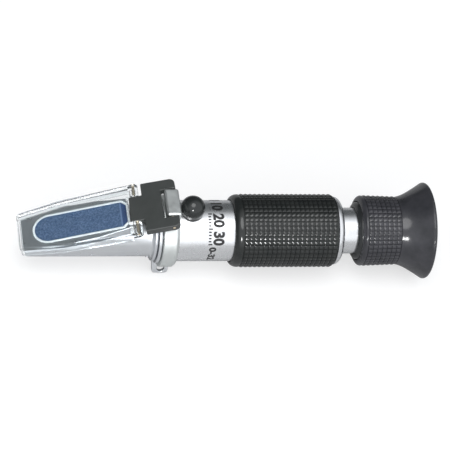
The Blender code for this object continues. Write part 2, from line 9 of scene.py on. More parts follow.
import bmesh
import bpy
from mathutils import Matrix, Vector


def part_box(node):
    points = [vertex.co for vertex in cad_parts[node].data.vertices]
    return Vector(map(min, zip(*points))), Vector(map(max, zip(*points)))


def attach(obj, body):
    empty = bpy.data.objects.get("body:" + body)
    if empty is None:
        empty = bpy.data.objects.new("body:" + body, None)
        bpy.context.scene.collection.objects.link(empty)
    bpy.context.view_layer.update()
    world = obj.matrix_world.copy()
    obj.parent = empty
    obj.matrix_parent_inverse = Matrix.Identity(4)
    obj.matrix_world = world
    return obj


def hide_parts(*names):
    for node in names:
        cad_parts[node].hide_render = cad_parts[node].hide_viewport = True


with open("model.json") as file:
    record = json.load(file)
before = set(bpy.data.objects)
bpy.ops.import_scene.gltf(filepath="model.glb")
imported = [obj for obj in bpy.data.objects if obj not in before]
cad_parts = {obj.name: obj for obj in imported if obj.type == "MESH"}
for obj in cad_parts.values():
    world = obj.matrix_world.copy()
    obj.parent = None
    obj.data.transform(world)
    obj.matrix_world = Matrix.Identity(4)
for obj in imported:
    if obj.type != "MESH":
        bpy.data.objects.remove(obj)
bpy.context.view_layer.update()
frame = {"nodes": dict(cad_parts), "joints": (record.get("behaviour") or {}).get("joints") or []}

MM = 0.001


# ---- what the frame says -------------------------------------------------------------------------------
def joint(name):
    return next(j for j in frame["joints"] if j["name"] == name)


def reach(node):
    """Where a turned CAD node starts and ends along the axis, and its radius, in millimetres."""
    low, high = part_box(node)
    return low.x / MM, high.x / MM, (high.y - low.y) / 2 / MM


def axis_place(name):
    """A joint's place in millimetres from the optical axis."""
    x, y, z = joint(name)["pos_m"]
    return Vector((x, y, z - AXIS_HEIGHT)) / MM


BARREL_LOW, BARREL_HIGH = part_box("barrel_tube")
AXIS_HEIGHT = (BARREL_LOW.z + BARREL_HIGH.z) / 2
TO_WORLD = Matrix.Translation((0, 0, AXIS_HEIGHT)) @ Matrix.Scale(MM, 4)
BARREL_FRONT, BARREL_REAR, BARREL_RADIUS = reach("barrel_tube")

ARM_PIVOT = axis_place("cover_hinge")
PLATE_PIVOT = axis_place("plate_hinge")
CAP_LOW, CAP_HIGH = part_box("calibration_cap")
CAP_X = (CAP_LOW.x + CAP_HIGH.x) / 2 / MM
CAP_TOP = (CAP_HIGH.z - AXIS_HEIGHT) / MM
ARM_SLOPE = math.atan2(ARM_PIVOT.z - PLATE_PIVOT.z, ARM_PIVOT.x - PLATE_PIVOT.x)
FACE_SLOPE = math.radians(18.36)
FACE_ORIGIN = Vector((-60.8, 0, 4.5))

# Where drawings are laid: on the optical axis, on the sloping sample face, and on the cover arm.
AXIS = Matrix.Identity(4)
FACE = Matrix.Translation(FACE_ORIGIN) @ Matrix.Rotation(-FACE_SLOPE, 4, "Y")
ARM = Matrix.Translation(ARM_PIVOT) @ Matrix.Rotation(-ARM_SLOPE, 4, "Y")


# ---- mesh helpers --------------------------------------------------------------------------------------
FINE_STEPS = 144              # sides of the large turned pieces
WELD = 0.0005                 # points closer than this, in millimetres, become one


def weld(shape):
    bmesh.ops.remove_doubles(shape, verts=shape.verts, dist=WELD)
    bmesh.ops.recalc_face_normals(shape, faces=shape.faces)


def link(name, data):
    obj = bpy.data.objects.new(name, data)
    bpy.context.scene.collection.objects.link(obj)
    return obj


def as_object(name, shape):
    mesh = bpy.data.meshes.new(name)
    shape.to_mesh(mesh)
    shape.free()
    return link(name, mesh)


def new_object(name, shape):
    weld(shape)
    return as_object(name, shape)


def arc(cx, cr, radius, start, end, count):
    """Points on an arc, angles in degrees, both ends included."""
    angles = [math.radians(start + (end - start) * i / count) for i in range(count + 1)]
    return [(cx + radius * math.cos(a), cr + radius * math.sin(a)) for a in angles]


def rounded(corners, count=6):
    """An outline from (x, y, corner radius) points, with arcs at the corners that have a radius."""
    outline = []
    for i, (x, y, radius) in enumerate(corners):
        corner = Vector((x, y))
        before = (Vector(corners[i - 1][:2]) - corner).normalized()
        after = (Vector(corners[(i + 1) % len(corners)][:2]) - corner).normalized()
        if not radius:
            outline.append((x, y))
            continue
        half = before.angle(after) / 2
        centre = corner + (before + after).normalized() * radius / math.sin(half)
        start = corner + before * radius / math.tan(half) - centre
        turn = start.angle_signed(corner + after * radius / math.tan(half) - centre)
        for step in range(count + 1):
            point = centre + Matrix.Rotation(-turn * step / count, 2) @ start
            outline.append((point.x, point.y))
    return outline


def mirrored(half):
    """A closed outline from the corners of its +Y half, listed from one end of the axis to the other."""
    return half + [(x, -y, r) for x, y, r in reversed(half) if y > 0]


def flowing(points, count=6):
    """A smooth curve through the points, without its last one."""
    ends = [2 * Vector(points[0]) - Vector(points[1])], [2 * Vector(points[-1]) - Vector(points[-2])]
    through = ends[0] + [Vector(p) for p in points] + ends[1]
    curve = []
    for a, b, c, d in zip(through, through[1:], through[2:], through[3:]):
        for i in range(count):
            t = i / count
            p = b * 2 + (c - a) * t + (a * 2 - b * 5 + c * 4 - d) * t * t + (b * 3 - a - c * 3 + d) * t ** 3
            curve.append(tuple(p / 2))
    return curve


def turned_shape(profile, place=AXIS, steps=FINE_STEPS, upright=False):
    """A closed outline of (distance along the axis, radius) turned about X, or about Z when upright."""
    shape = bmesh.new()
    rings = []
    for along, radius in profile:
        ring = []
        for step in range(steps if radius > WELD else 1):
            turn = 2 * math.pi * step / steps
            across, up = radius * math.sin(turn), radius * math.cos(turn)
            ring.append(shape.verts.new((up, across, along) if upright else (along, across, up)))
        rings.append(ring)
    for start, end in zip(rings[-1:] + rings, rings):
        if len(start) == len(end) == 1:
            continue
        for step in range(steps):
            corners = [ring[turn % len(ring)] for ring, turn in ((start, step), (start, step + 1),
                                                                 (end, step + 1), (end, step))]
            shape.faces.new(list(dict.fromkeys(corners)))
    bmesh.ops.transform(shape, matrix=place, verts=shape.verts)
    return shape


def turned(name, profile, **options):
    return new_object(name, turned_shape(profile, **options))


def slab(name, outline, low, high, place=AXIS):
    """A flat outline, filled and carried from low to high along Z."""
    shape = bmesh.new()
    rings = [[shape.verts.new((x, y, z)) for x, y in outline] for z in (low, high)]
    for ring in rings:
        shape.faces.new(ring)
    for i in range(len(outline)):
        shape.faces.new((rings[0][i - 1], rings[0][i], rings[1][i], rings[1][i - 1]))
    bmesh.ops.transform(shape, matrix=place, verts=shape.verts)
    return new_object(name, shape)


def block(name, low, high, place=AXIS):
    """A box between two opposite corners."""
    low, high = Vector(low), Vector(high)
    shape = bmesh.new()
    size = Matrix.Diagonal((*(high - low), 1))
    bmesh.ops.create_cube(shape, size=1, matrix=place @ Matrix.Translation((low + high) / 2) @ size)
    return new_object(name, shape)


def bar(name, radius, start, end, steps=32):
    """A round bar between two points."""
    start, end = Vector(start), Vector(end)
    turn = (end - start).to_track_quat("Z", "Y").to_matrix().to_4x4()
    place = Matrix.Translation((start + end) / 2) @ turn
    shape = bmesh.new()
    bmesh.ops.create_cone(shape, cap_ends=True, segments=steps, radius1=radius, radius2=radius,
                          depth=(end - start).length, matrix=place)
    return new_object(name, shape)


def cross_bar(name, radius, half_length, centre, aside=0):
    """A round bar along Y, its middle a distance aside from the centre."""
    middle = centre + Vector((0, aside, 0))
    half = Vector((0, half_length, 0))
    return bar(name, radius, middle - half, middle + half)


def apply_modifiers(obj):
    """Makes the shape that the modifiers give into the mesh itself."""
    graph = bpy.context.evaluated_depsgraph_get()
    mesh = bpy.data.meshes.new_from_object(obj.evaluated_get(graph))
    obj.modifiers.clear()
    obj.data = mesh


def combine(obj, operation, tools):
    """Boolean with each tool in turn; the tools are used up."""
    for tool in tools:
        boolean = obj.modifiers.new("boolean", "BOOLEAN")
        boolean.operation = operation
        boolean.object = tool
    apply_modifiers(obj)
    for tool in tools:
        bpy.data.objects.remove(tool, do_unlink=True)
    return obj


def cut(obj, *tools):
    return combine(obj, "DIFFERENCE", tools)


def join(obj, *tools):
    return combine(obj, "UNION", tools)


def keep_inside(obj, *tools):
    return combine(obj, "INTERSECT", tools)


def soften(obj, width, segments=3, angle=35):
    """Rounds the edges sharper than the angle."""
    bevel = obj.modifiers.new("round", "BEVEL")
    bevel.width = width
    bevel.segments = segments
    bevel.limit_method = "ANGLE"
    bevel.angle_limit = math.radians(angle)
    bevel.use_clamp_overlap = False
    bevel.miter_outer = "MITER_ARC"
    apply_modifiers(obj)
    return obj


def piece(obj, material, body, slot, *nodes, smooth=True, flats=False, sharp=38):
    """Puts a finished shape in the frame: its material, its body and the CAD nodes that it stands for."""
    if smooth:
        obj.data.shade_smooth()
    obj.data.set_sharp_from_angle(angle=math.radians(sharp))
    if flats:
        normals = obj.modifiers.new("normals", "WEIGHTED_NORMAL")
        normals.keep_sharp = True
        apply_modifiers(obj)
    obj.data.transform(TO_WORLD)
    obj.data.materials.clear()
    obj.data.materials.append(material)
    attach(obj, body)
    if nodes:
        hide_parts(*nodes)
    return obj


# ---- material helpers ----------------------------------------------------------------------------------
def new_material(name, colour, roughness, metallic=0.0, **sockets):
    made = bpy.data.materials.new(name)
    made.use_nodes = True
    shader = made.node_tree.nodes["Principled BSDF"]
    shader.inputs["Base Color"].default_value = (*colour, 1)
    shader.inputs["Roughness"].default_value = roughness
    shader.inputs["Metallic"].default_value = metallic
    for socket, value in sockets.items():
        shader.inputs[socket.replace("_", " ")].default_value = value
    return made


def add(tree, kind, **settings):
    node = tree.nodes.new("ShaderNode" + kind)
    for name, value in settings.items():
        if name in node.inputs:
            node.inputs[name].default_value = value
        else:
            setattr(node, name, value)
    return node


def noise(tree, scale, detail=2.0, stretch=(1, 1, 1)):
    """A noise on the piece's own coordinates, with about scale features a metre."""
    place = add(tree, "TexCoord")
    mapping = add(tree, "Mapping")
    mapping.inputs["Scale"].default_value = stretch
    made = add(tree, "TexNoise", Scale=scale, Detail=detail)
    tree.links.new(place.outputs["Object"], mapping.inputs["Vector"])
    tree.links.new(mapping.outputs["Vector"], made.inputs["Vector"])
    return made.outputs["Fac"]


def ranged(tree, value, low, high, start=0.3, end=0.7):
    """The value spread over low to high."""
    spread = add(tree, "MapRange")
    for name, number in (("From Min", start), ("From Max", end), ("To Min", low), ("To Max", high)):
        spread.inputs[name].default_value = number
    tree.links.new(value, spread.inputs["Value"])
    return spread.outputs["Result"]


def blended(tree, factor, colour_a, colour_b):
    mix = add(tree, "Mix", data_type="RGBA")
    tree.links.new(factor, mix.inputs["Factor"])
    for socket, colour in ((mix.inputs[6], colour_a), (mix.inputs[7], colour_b)):
        if isinstance(colour, bpy.types.NodeSocket):
            tree.links.new(colour, socket)
        else:
            socket.default_value = (*colour, 1)
    return mix.outputs[2]


def paint(made, colour):
    tree = made.node_tree
    tree.links.new(colour, tree.nodes["Principled BSDF"].inputs["Base Color"])


def roughen(made, value):
    tree = made.node_tree
    tree.links.new(value, tree.nodes["Principled BSDF"].inputs["Roughness"])


def emboss(made, height, depth, strength=0.5):
    """Bump from a height, over a depth in millimetres."""
    tree = made.node_tree
    bump = add(tree, "Bump", Strength=strength, Distance=depth * MM)
    tree.links.new(height, bump.inputs["Height"])
    tree.links.new(bump.outputs["Normal"], tree.nodes["Principled BSDF"].inputs["Normal"])


def edges(tree):
    """1 on the outer edges of the shape, 0 on its faces."""
    return ranged(tree, add(tree, "NewGeometry").outputs["Pointiness"], 0, 1, 0.52, 0.6)


# ---- materials -----------------------------------------------------------------------------------------
def satin_metal(name, colour, shade, low, high, stretch=(1, 1, 1)):
    """Bright metal with a fine grain; scales below 1 draw the grain out along that axis."""
    made = new_material(name, colour, (low + high) / 2, 1.0)
    tree = made.node_tree
    marks = noise(tree, 2600, 3, stretch)
    patches = ranged(tree, noise(tree, 90, 3), 0, 1)
    paint(made, blended(tree, patches, shade, colour))
    roughen(made, ranged(tree, noise(tree, 420, 4), low, high))
    emboss(made, marks, 0.004, 0.2)
    return made


def rubber(name, colour, bloom_and_reflection, low, high, grain):
    """Black rubber with a faint grey bloom and a fine moulded grain; where the colour and bloom are set
    lighter, as on the eyecup, they are partly painted reflection of the floor.
    """
    made = new_material(name, colour, (low + high) / 2)
    tree = made.node_tree
    paint(made, blended(tree, ranged(tree, noise(tree, 160, 4), 0, 1), colour, bloom_and_reflection))
    roughen(made, ranged(tree, noise(tree, 700, 3), low, high))
    emboss(made, noise(tree, 5200, 2), grain, 0.4)
    return made


def moulded(name, colour, worn, low, high, grain):
    """Moulded plastic or paint: a fine even grain, and edges rubbed lighter."""
    made = new_material(name, colour, (low + high) / 2)
    tree = made.node_tree
    shade = tuple(c * 0.86 for c in colour)
    body = blended(tree, ranged(tree, noise(tree, 220, 3), 0, 1), shade, colour)
    paint(made, blended(tree, edges(tree), body, worn))
    roughen(made, ranged(tree, noise(tree, 900, 3), low, high))
    emboss(made, noise(tree, 3400, 2), grain, 0.4)
    return made


def clear(name, tint, roughness, index, gloss=0.0):
    """Clear glass or plastic that lets the lamps through to what lies below it."""
    made = new_material(name, tint, roughness, Transmission_Weight=1.0, IOR=index, Coat_Weight=gloss,
                        Coat_Roughness=0.03)
    tree = made.node_tree
    shader = tree.nodes["Principled BSDF"]
    roughen(made, ranged(tree, noise(tree, 350, 3), 0, roughness))
    through = add(tree, "BsdfTransparent")
    through.inputs["Color"].default_value = (*tint, 1)
    mix = add(tree, "MixShader")
    tree.links.new(add(tree, "LightPath").outputs["Is Shadow Ray"], mix.inputs[0])
    tree.links.new(shader.outputs[0], mix.inputs[1])
    tree.links.new(through.outputs[0], mix.inputs[2])
    tree.links.new(mix.outputs[0], tree.nodes["Material Output"].inputs["Surface"])
    return made


PAD_REAR = -44.5              # where the ground part of the prism's window ends


def prism_glass():
    """The ground face of the prism: blue with a fine sparkle, then a paler line, and dark behind it."""
    made = new_material("prism_glass", (0.075, 0.125, 0.22), 0.4, Coat_Weight=0.25, Coat_Roughness=0.1)
    tree = made.node_tree
    speckle = ranged(tree, noise(tree, 1500, 3), 0, 1, 0.42, 0.6)
    ground = blended(tree, speckle, (0.028, 0.060, 0.13), (0.10, 0.155, 0.26))
    ground = blended(tree, ranged(tree, noise(tree, 130, 2), 0, 0.3), ground, (0.075, 0.12, 0.20))
    split = add(tree, "SeparateXYZ")
    tree.links.new(add(tree, "TexCoord").outputs["Object"], split.inputs[0])
    line = ranged(tree, split.outputs["X"], 0, 1, (PAD_REAR - 0.1) * MM, (PAD_REAR + 0.1) * MM)
    dark = ranged(tree, split.outputs["X"], 0, 1, (PAD_REAR + 0.5) * MM, (PAD_REAR + 0.7) * MM)
    colour = blended(tree, line, ground, (0.12, 0.18, 0.30))
    paint(made, blended(tree, dark, colour, (0.025, 0.05, 0.13)))
    roughen(made, ranged(tree, speckle, 0.3, 0.5, 0, 1))
    emboss(made, speckle, 0.02, 0.5)
    return made


HEAD_METAL = satin_metal("satin_aluminium_head", (0.80, 0.82, 0.84), (0.78, 0.80, 0.83), 0.27, 0.33)
TUBE_METAL = satin_metal("satin_aluminium_tube", (0.84, 0.85, 0.86), (0.81, 0.82, 0.84), 0.24, 0.33,
                         (1, 0.05, 0.05))
CASTING = satin_metal("satin_casting", (0.80, 0.83, 0.82), (0.75, 0.78, 0.77), 0.36, 0.48)
ARM_PLASTIC = moulded("black_plastic", (0.045, 0.05, 0.048), (0.10, 0.10, 0.10), 0.42, 0.55, 0.02)
GLOSS_PLASTIC = moulded("gloss_black_plastic", (0.022, 0.024, 0.025), (0.05, 0.05, 0.05), 0.1, 0.18, 0.004)
GRIP_RUBBER = rubber("black_rubber_grip", (0.011, 0.013, 0.013), (0.020, 0.022, 0.021), 0.11, 0.17, 0.003)
# The eyecup is black rubber like the grip; its colour and bloom are set lighter, over the whole cup, as
# painted reflection of the pale floor.
CUP_RUBBER_PAINTED_REFLECTION = rubber("black_rubber_cup_painted_reflection", (0.024, 0.025, 0.029), (0.045, 0.045, 0.052), 0.14, 0.2, 0.003)
BALL_RUBBER = rubber("black_rubber_cap", (0.014, 0.016, 0.016), (0.022, 0.025, 0.025), 0.09, 0.15, 0.003)
PIN_BRASS = satin_metal("pale_brass", (0.86, 0.76, 0.60), (0.74, 0.62, 0.46), 0.25, 0.4)
BRASS = satin_metal("brass", (0.72, 0.55, 0.36), (0.55, 0.40, 0.26), 0.25, 0.4)
STEEL = satin_metal("steel", (0.62, 0.62, 0.63), (0.5, 0.5, 0.52), 0.25, 0.4)
BLACK_METAL = moulded("black_anodised", (0.02, 0.02, 0.021), (0.07, 0.07, 0.07), 0.45, 0.65, 0.01)
# The prism's frame is a real part; its near-white colour and lighter edges are painted highlight for the
# glint along the window's edge.
PRISM_FRAME_PAINTED_HIGHLIGHT = moulded("prism_frame", (0.78, 0.82, 0.83), (0.86, 0.88, 0.88), 0.3, 0.45, 0.02)
ACRYLIC = clear("clear_plastic", (0.93, 0.955, 0.965), 0.03, 1.25, 0.6)
GLASS = clear("optical_glass", (0.93, 0.96, 0.99), 0.02, 1.52)
BLUE_GLASS = prism_glass()
INK = moulded("black_ink", (0.012, 0.012, 0.013), (0.02, 0.02, 0.02), 0.4, 0.6, 0.004)


# ---- prism housing -------------------------------------------------------------------------------------
HEAD_RADIUS = 10.45
SPIGOT_RADIUS = 10.5          # of the end that enters the barrel
FACE_FRONT, FACE_REAR = -23.6, 21.0      # along the slope of the face, from FACE_ORIGIN
PRISM_FRONT, PRISM_REAR = -18.1, 19.8
PRISM_HALF_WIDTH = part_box("prism")[1].y / MM
BEZEL_WIDTH = 1.0


def window(margin):
    """The prism's window: a round front end and two cut corners at the rear."""
    half = PRISM_HALF_WIDTH + margin
    rear = PRISM_REAR + margin
    corner = 2.0 + margin * (math.sqrt(2) - 1)
    front = arc(PRISM_FRONT + PRISM_HALF_WIDTH, 0, half, 270, 90, 48)
    corners = [(rear - corner, half), (rear, half - corner)]
    return front + corners + [(x, -y) for x, y in reversed(corners)]


def prism_housing():
    """The head: a turned shell with a seat for the prism, tapered, and cut along the slope."""
    head_front = reach("prism_housing")[0] - 1
    flange_front, flange_rear, spigot_rear, fillet = -31.0, -29.6, -19.3, 1.5
    flange_radius, bore, bore_front = 12.3, 7.0, -44.0
    profile = [(bore_front, 0), (bore_front, bore), (spigot_rear, bore), (spigot_rear, SPIGOT_RADIUS)]
    profile += [(flange_rear, SPIGOT_RADIUS), (flange_rear, flange_radius - 0.25)]
    profile += [(flange_rear - 0.25, flange_radius), (flange_front + 0.25, flange_radius)]
    profile += [(flange_front, flange_radius - 0.25)]
    profile += arc(flange_front - fillet, HEAD_RADIUS + fillet, fillet, 0, -90, 10)
    profile += [(head_front, HEAD_RADIUS), (head_front, 0)]
    housing = turned("prism_housing_shell", profile)
    seat_rear = FACE_ORIGIN.x + FACE_REAR * math.cos(FACE_SLOPE)
    seat = mirrored([(-62, 9.6, 0), (-53, 9.3, 0), (-47, 8.4, 0), (seat_rear, 7.6, 0)])
    join(housing, slab("seat", rounded(seat), 0, 14))
    plan = mirrored([(-86, 6.93, 0), (-83.5, 7.3, 0), (-62, 10.5, 0), (-62, 14, 0), (-18, 14, 0)])
    keep_inside(housing, slab("plan", rounded(plan), -15, 15))
    above = block("above", (-30, -15, 0), (FACE_REAR + 1.5, 15, 20), FACE)
    front_end = block("front_end", (-34, -15, -30), (FACE_FRONT, 15, 12), FACE)
    cut(housing, above, front_end)
    soften(housing, 0.3)
    pocket = slab("pocket", window(BEZEL_WIDTH + 0.1), -1.4, 4, FACE)
    screw = radial_bar("screw_hole", 0.95, 5, 14)
    cut(housing, pocket, screw)
    piece(housing, HEAD_METAL, "main_body", "satin_aluminium", "prism_housing", flats=True)


def prism_and_frame():
    """The prism, and the frame round its window, coloured near-white as a painted highlight of the glint on
    the window's edge.
    """
    prism = slab("prism_block", window(0), -6.5, 0.1, FACE)
    rear = FACE_ORIGIN.x + PRISM_REAR * math.cos(FACE_SLOPE)
    keep_inside(prism, block("prism_bounds", (-90, -12, -5), (rear, 12, 20)))
    piece(soften(prism, 0.08, 2), BLUE_GLASS, "main_body", "prism_glass", "prism", flats=True)
    rim = slab("prism_rim", window(BEZEL_WIDTH), -1.2, 0.14, FACE)
    cut(rim, slab("rim_window", window(0.03), -5, 5, FACE))
    piece(soften(rim, 0.26), PRISM_FRAME_PAINTED_HIGHLIGHT, "main_body", "prism_frame", "prism_bezel", flats=True)


def radial_bar(name, radius, inner, outer):
    """A bar that points out from the axis where the set screw is."""
    low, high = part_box("lock_screw")
    middle = (low + high) / 2
    place = Vector((middle.x, middle.y, middle.z - AXIS_HEIGHT)) / MM
    out = Vector((0, place.y, place.z)).normalized()
    foot = Vector((place.x, 0, 0))
    return bar(name, radius, foot + out * inner, foot + out * outer, 24)


def lock_screw():
    """A socket set screw in the side of the head."""
    screw = radial_bar("lock_screw_socket_head", 0.7, 8.0, HEAD_RADIUS + 0.35)
    cut(screw, radial_bar("socket", 0.36, HEAD_RADIUS - 0.5, HEAD_RADIUS + 2))
    piece(soften(screw, 0.08, 2), STEEL, "main_body", "steel", "lock_screw", flats=True)


# ---- barrel, strap ring and hinge collar ---------------------------------------------------------------
COLLAR_FRONT, COLLAR_REAR, COLLAR_RADIUS = reach("hinge_collar")
RING_FRONT = reach("strap_ring")[0]
KNUCKLE_HALF_WIDTH = 6.7
KNUCKLE_FRONT = -27.15
KNUCKLE_TOP = 19.2


def barrel():
    """The tube, with the hole for the calibration screw's bushing."""
    bore, edge = 10.8, 0.3
    profile = [(BARREL_FRONT, bore), (BARREL_FRONT, BARREL_RADIUS - edge)]
    profile += [(BARREL_FRONT + edge, BARREL_RADIUS), (BARREL_REAR - edge, BARREL_RADIUS)]
    profile += [(BARREL_REAR, BARREL_RADIUS - edge), (BARREL_REAR, bore)]
    tube = turned("barrel_shell", profile)
    cut(tube, bar("bushing_hole", 2.9, (CAP_X, 0, 5), (CAP_X, 0, 20), 40))
    piece(tube, TUBE_METAL, "main_body", "satin_aluminium", "barrel_tube")


def hinge_collar():
    """A cast ring with the hinge knuckle on top."""
    bore, chamfer = BARREL_RADIUS + 0.15, 1.2
    outline = [(COLLAR_FRONT, bore, 0), (COLLAR_FRONT, COLLAR_RADIUS, 0.45)]
    outline += [(COLLAR_REAR - chamfer, COLLAR_RADIUS, 1.0), (COLLAR_REAR, COLLAR_RADIUS - chamfer, 0.5)]
    outline += [(COLLAR_REAR, bore, 0)]
    collar = turned("collar_casting", rounded(outline))
    low = (KNUCKLE_FRONT, -KNUCKLE_HALF_WIDTH, bore + 0.45)
    high = (COLLAR_REAR - 0.2, KNUCKLE_HALF_WIDTH, KNUCKLE_TOP)
    knuckle = soften(block("knuckle", low, high), 0.9, 5)
    join(collar, knuckle)
    cut(collar, cross_bar("collar_pin_hole", 0.85, 15, ARM_PIVOT))
    piece(collar, CASTING, "main_body", "painted_casting", "hinge_collar", flats=True, sharp=50)


def strap_ring():
    """A thin ring with a flat lug for a strap, to one side of straight down."""
    ring_rear, inner, over_collar = -28.0, SPIGOT_RADIUS + 0.3, COLLAR_RADIUS + 0.4
    ring_radius, lug_radius, lug_rear, thickness = 13.3, 20.4, -21.9, 1.8
    hole_x, hole_r, hole_radius = -25.0, 18.1, 1.6
    angle = math.radians(18)
    ring = turned("strap_ring_plate", rounded([(RING_FRONT, inner, 0), (RING_FRONT, ring_radius, 0.3),
                                               (ring_rear, ring_radius, 0.3), (ring_rear, inner, 0)], 3))
    outline = [(RING_FRONT, 12.0, 0), (RING_FRONT + 0.9, lug_radius, 1.2), (lug_rear, lug_radius, 1.4)]
    outline += [(lug_rear, over_collar, 0), (ring_rear, over_collar, 0), (ring_rear, 12.0, 0)]
    turn = Matrix.Rotation(-math.pi / 2 - angle, 4, "X")
    lug = slab("lug", rounded(outline, 8), -thickness / 2, thickness / 2, turn)
    cut(lug, slab("hole", arc(hole_x, hole_r, hole_radius, 0, 350, 35), -3, 3, turn))
    soften(lug, 0.25)
    join(ring, lug)
    piece(ring, HEAD_METAL, "main_body", "satin_aluminium", "strap_ring", flats=True)


# ---- grip, end ring and guide tube ---------------------------------------------------------------------
STUD_ROWS = 46
STUD_HEIGHT = 0.68
STUD_WALL = 0.34              # height at which the upright foot of a stud turns into its pyramid
GRIP_FRONT, GRIP_REAR, GRIP_RADIUS = reach("grip_sleeve")


def add_studs(shape, front, rear, columns, radius_at):
    """Rows of small four-sided pyramids round the axis, on a surface of the given radius."""
    pitch = (rear - front) / columns
    half_turn = math.pi / STUD_ROWS
    levels = ((-0.1, 0.47), (STUD_WALL, 0.43), (STUD_HEIGHT, 0.045))      # height, half width over pitch
    for column in range(columns):
        middle = front + pitch * (column + 0.5)
        for row in range(STUD_ROWS):
            turn = 2 * half_turn * (row + 0.5)
            rings = []
            for height, share in levels:
                ring = []
                for sx, st in ((-1, -1), (1, -1), (1, 1), (-1, 1)):
                    x = middle + sx * share * pitch
                    a = turn + st * 2 * share * half_turn
                    r = radius_at(middle if height > 0 else x) + height
                    ring.append(shape.verts.new((x, -r * math.sin(a), r * math.cos(a))))
                rings.append(ring)
            shape.faces.new(rings[0])
            shape.faces.new(rings[-1])
            for low, high in zip(rings, rings[1:]):
                for i in range(4):
                    shape.faces.new((low[i - 1], low[i], high[i], high[i - 1]))


def studded(name, profile, front, rear, columns, radius_at):
    """A turned body with smooth shading and flat-sided studs."""
    shape = turned_shape(profile)
    for face in shape.faces:
        face.smooth = True
    studs = bmesh.new()
    add_studs(studs, front, rear, columns, radius_at)
    bmesh.ops.recalc_face_normals(studs, faces=studs.faces)
    weld(shape)
    spare = bpy.data.meshes.new("studs")
    studs.to_mesh(spare)
    studs.free()
    shape.from_mesh(spare)
    bpy.data.meshes.remove(spare)
    return as_object(name, shape)


def grip():
    """The studded rubber sleeve, with a plain rounded lip in front."""
    bore, lip, base = BARREL_RADIUS + 0.3, 3.2, GRIP_RADIUS + 0.1 - STUD_HEIGHT
    stud_front, stud_rear, columns = GRIP_FRONT + 3.9, GRIP_REAR - 0.5, 20
    nose = [(GRIP_FRONT + lip * (1 - math.cos(a)), bore + (GRIP_RADIUS - 0.05 - bore) * math.sin(a))
            for a in (math.radians(9 * i) for i in range(1, 11))]
    profile = [(GRIP_FRONT, bore), *nose, (stud_front - 0.45, GRIP_RADIUS - 0.12), (stud_front - 0.15, base)]
    profile += [(stud_rear + 0.1, base), (GRIP_REAR - 0.2, base)]
    profile += [(GRIP_REAR, base - 0.25), (GRIP_REAR, bore)]
    sleeve = studded("grip_rubber", profile, stud_front, stud_rear, columns, lambda x: base)
    piece(sleeve, GRIP_RUBBER, "main_body", "black_rubber", "grip_sleeve", smooth=False)


def end_ring():
    """The domed ring behind the grip."""
    front, rear, _ = reach("end_ring")
    face, bore, width = GRIP_REAR + 0.3, reach("guide_tube")[2] + 0.2, 3.5
    dome = [(face + (rear - face) * math.sin(a), 10.6 + width * math.cos(a))
            for a in (math.radians(9 * i) for i in range(11))]
    profile = [(front, bore), (front, SPIGOT_RADIUS), (face, SPIGOT_RADIUS), *dome, (rear, bore)]
    piece(turned("end_ring_dome", profile), TUBE_METAL, "main_body", "satin_aluminium", "end_ring")


def guide_tube():
    """The tube that the eyepiece slides on, with the slot for its guide pin."""
    front, rear, radius = reach("guide_tube")
    bore, edge = 8.3, 0.25
    profile = [(front, bore), (front, radius), (rear - edge, radius), (rear, radius - edge), (rear, bore)]
    tube = turned("guide_tube_sleeve", profile)
    cut(tube, block("guide_slot", (54.1, -0.9, -12), (rear + 2, 0.9, -6)))
    piece(tube, TUBE_METAL, "main_body", "satin_aluminium", "guide_tube")


# ---- cover arm and daylight plate ----------------------------------------------------------------------
ARM_THICKNESS = 3.0
ARM_HALF_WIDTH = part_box("cover_arm")[1].y / MM
PLATE_HALF_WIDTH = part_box("daylight_plate")[1].y / MM
PLATE_REAR = 20.4
PLATE_UNDERSIDE = 0.4
EAR_INNER = 6.5
EAR_RADIUS = 1.9


def arm_x(x):
    """Distance along the arm's slope from the hinge, for a place x on the optical axis."""
    return (x - ARM_PIVOT.x) / math.cos(ARM_SLOPE)


def cover_arm():
    """The black link: a tongue for the plate in front, a notch for the knuckle behind."""
    tongue, notch = 6.2, KNUCKLE_HALF_WIDTH + 0.4
    front, step, rear, notch_front = arm_x(-40.9), arm_x(-35.7), arm_x(-22.3), arm_x(-28.2)
    half = [(front, tongue, 0.8), (step, tongue, 0.3), (step, ARM_HALF_WIDTH, 0.5)]
    half += [(rear, ARM_HALF_WIDTH, 2.2), (rear, notch, 0.4), (notch_front, notch, 0.4)]
    arm = slab("cover_arm_moulding", rounded(mirrored(half)), -ARM_THICKNESS / 2, ARM_THICKNESS / 2, ARM)
    cut(arm, block("seat_clearance", (10, -12, -8), (FACE_REAR + 2, 12, PLATE_UNDERSIDE), FACE))
    soften(arm, 0.35, 4)
    cut(arm, *(cross_bar("hole", 0.85, 20, place) for place in (ARM_PIVOT, PLATE_PIVOT)))
    piece(arm, ARM_PLASTIC, "cover_arm", "black_plastic", "cover_arm", flats=True)


def plate_plan(inset, front_inset, rear):
    """Plan of the daylight plate in the plane of the face."""
    front = -24.86 + front_inset
    half = [(front, 8.8 - inset, max(0.0, 1.6 - inset)), (-7.0, 11.4 - inset, 0)]
    return rounded(mirrored(half + [(rear, PLATE_HALF_WIDTH - inset, 0)]))


